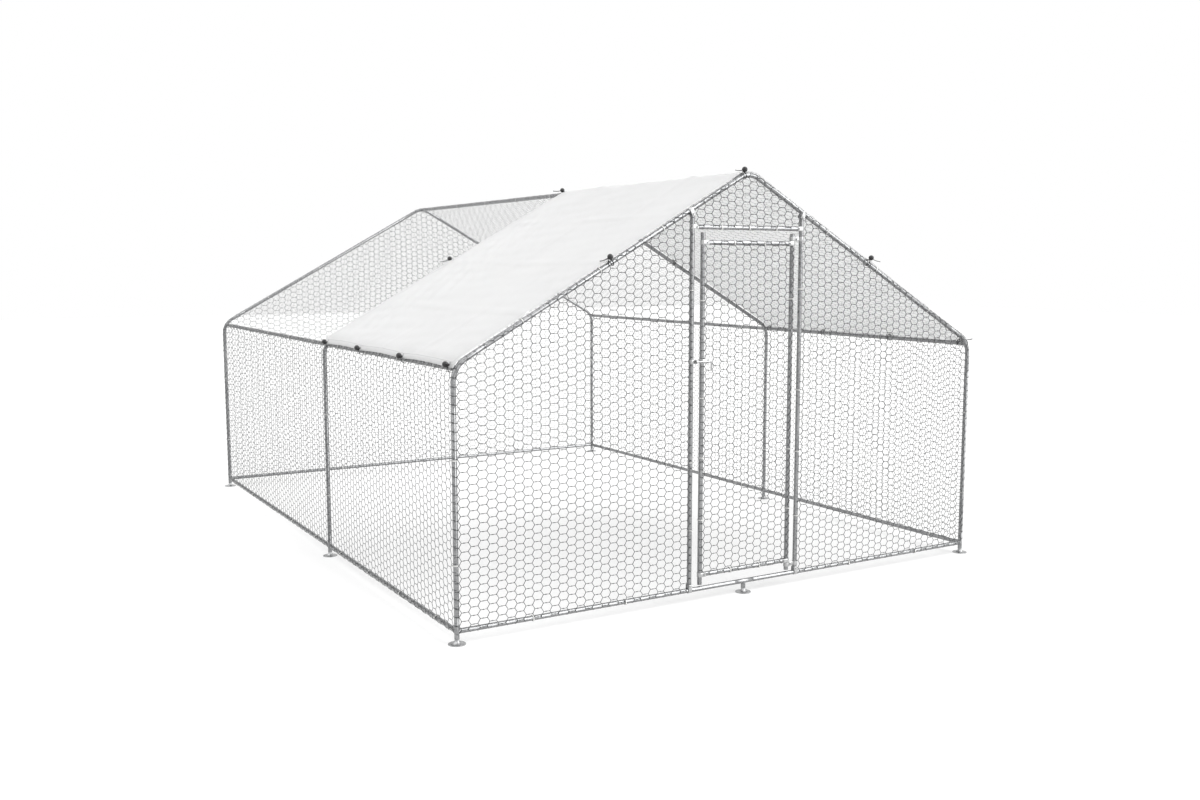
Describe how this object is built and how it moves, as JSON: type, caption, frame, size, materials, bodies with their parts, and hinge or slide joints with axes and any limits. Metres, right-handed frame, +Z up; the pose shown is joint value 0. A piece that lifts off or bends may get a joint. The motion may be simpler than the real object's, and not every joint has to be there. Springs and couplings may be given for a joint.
{
  "type": "walk-in chicken run",
  "caption": "Walk-in poultry run with a plug-together galvanised tube frame, gabled roof, hexagonal wire netting, hinged door with a slide latch, and a cover sheet over the door end",
  "frame": {"origin": "On the ground at the middle of the rectangle that the feet enclose", "axes": "+X to the right as seen from the door end, +Y from the door end to the far end, +Z up"},
  "size_m": [3.076, 4.0758, 2.0202],
  "materials": {
    "tube_steel": "galvanised",
    "foot_steel": "galvanised",
    "hardware": "zinc plated",
    "netting": "galvanised wire",
    "cover_sheet": "coated woven sheet",
    "black_ties": "moulded nylon",
    "white_ties": "moulded nylon"
  },
  "bodies": {
    "frame": {"post_front_left": "tube_steel", "post_front_right": "tube_steel", "post_mid_left": "tube_steel", "post_mid_right": "tube_steel", "post_rear_left": "tube_steel", "post_rear_right": "tube_steel", "rafter_front_left": "tube_steel", "rafter_front_right": "tube_steel", "rafter_mid_left": "tube_steel", "rafter_mid_right": "tube_steel", "rafter_rear_left": "tube_steel", "rafter_rear_right": "tube_steel", "eave_elbows_corner": "tube_steel", "eave_elbows_mid": "tube_steel", "ridge_elbows": "tube_steel", "ridge_purlin_front": "tube_steel", "ridge_purlin_rear": "tube_steel", "eave_rail_front_left": "tube_steel", "eave_rail_front_right": "tube_steel", "eave_rail_rear_left": "tube_steel", "eave_rail_rear_right": "tube_steel", "base_rail_front_left": "tube_steel", "base_rail_front_right": "tube_steel", "base_rail_rear_left": "tube_steel", "base_rail_rear_right": "tube_steel", "front_base_rails": "tube_steel", "rear_base_rails": "tube_steel", "base_tees_corner": "tube_steel", "base_tees_mid": "tube_steel", "base_tees_centre": "tube_steel", "feet": "foot_steel", "door_post_left": "tube_steel", "door_post_right": "tube_steel", "lintel": "tube_steel", "frame_straps": "hardware", "frame_bolts": "hardware", "hinge_clamps": "hardware", "latch_keeper": "hardware", "side_net_left": "netting", "side_net_right": "netting", "rear_net": "netting", "front_net": "netting", "roof_net_left": "netting", "roof_net_right": "netting", "net_ties": "white_ties", "cover": "cover_sheet", "eyelets": "hardware", "cover_ties": "black_ties"},
    "door": {"latch_stile": "tube_steel", "hinge_stile": "tube_steel", "door_top_rail": "tube_steel", "door_bottom_rail": "tube_steel", "door_straps": "hardware", "door_bolts": "hardware", "latch_guide": "hardware", "door_net": "netting", "door_net_ties": "white_ties"},
    "latch": {"latch_bolt": "hardware"}
  },
  "joints": [
    {"name": "door_hinge", "type": "hinge", "parent": "frame", "child": "door", "pos_m": [0.265, -2, 0.9], "axis": [0, 0, 1], "range_deg": [0, 120]},
    {"name": "latch_slide", "type": "slide", "parent": "door", "child": "latch", "axis": [1, 0, 0], "range_m": [-0.02, 0]}
  ]
}
